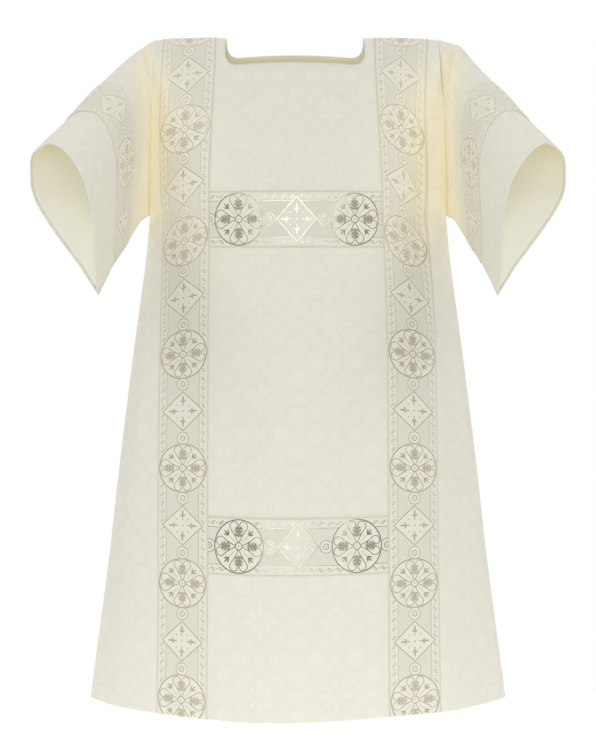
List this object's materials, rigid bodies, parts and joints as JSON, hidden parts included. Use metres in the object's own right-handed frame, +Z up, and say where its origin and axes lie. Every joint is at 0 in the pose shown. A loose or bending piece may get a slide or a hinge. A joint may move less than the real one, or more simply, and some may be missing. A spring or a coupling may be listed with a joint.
{
  "type": "dalmatic",
  "caption": "Wide-sleeved knee-length vestment of pale damask with galloon bands, square neck and lined open sleeves, hollow as it is worn.",
  "frame": {"origin": "middle of the shoulder line, midway across the neck opening, where the wearer's shoulders carry the cloth", "axes": "+X towards the wearer's left, -Y out of the front, +Z up"},
  "size_m": [0.9332, 0.4505, 1.2501],
  "materials": {
    "damask": "ivory tone-on-tone damask, soft satin",
    "galloon": "ivory galloon figured with metallic thread",
    "lining": "plain cream satin"
  },
  "bodies": {
    "root": {"front_panel": "damask", "back_panel": "damask", "sleeve_left": "damask", "sleeve_right": "damask", "band_left": "galloon", "band_right": "galloon", "crossband_front_upper": "galloon", "crossband_front_lower": "galloon", "crossband_back_upper": "galloon", "crossband_back_lower": "galloon", "sleeve_band_left": "galloon", "sleeve_band_right": "galloon", "sleeve_lining_left": "lining", "sleeve_lining_right": "lining", "neck_facing_front": "lining", "neck_facing_back": "lining"}
  },
  "joints": []
}
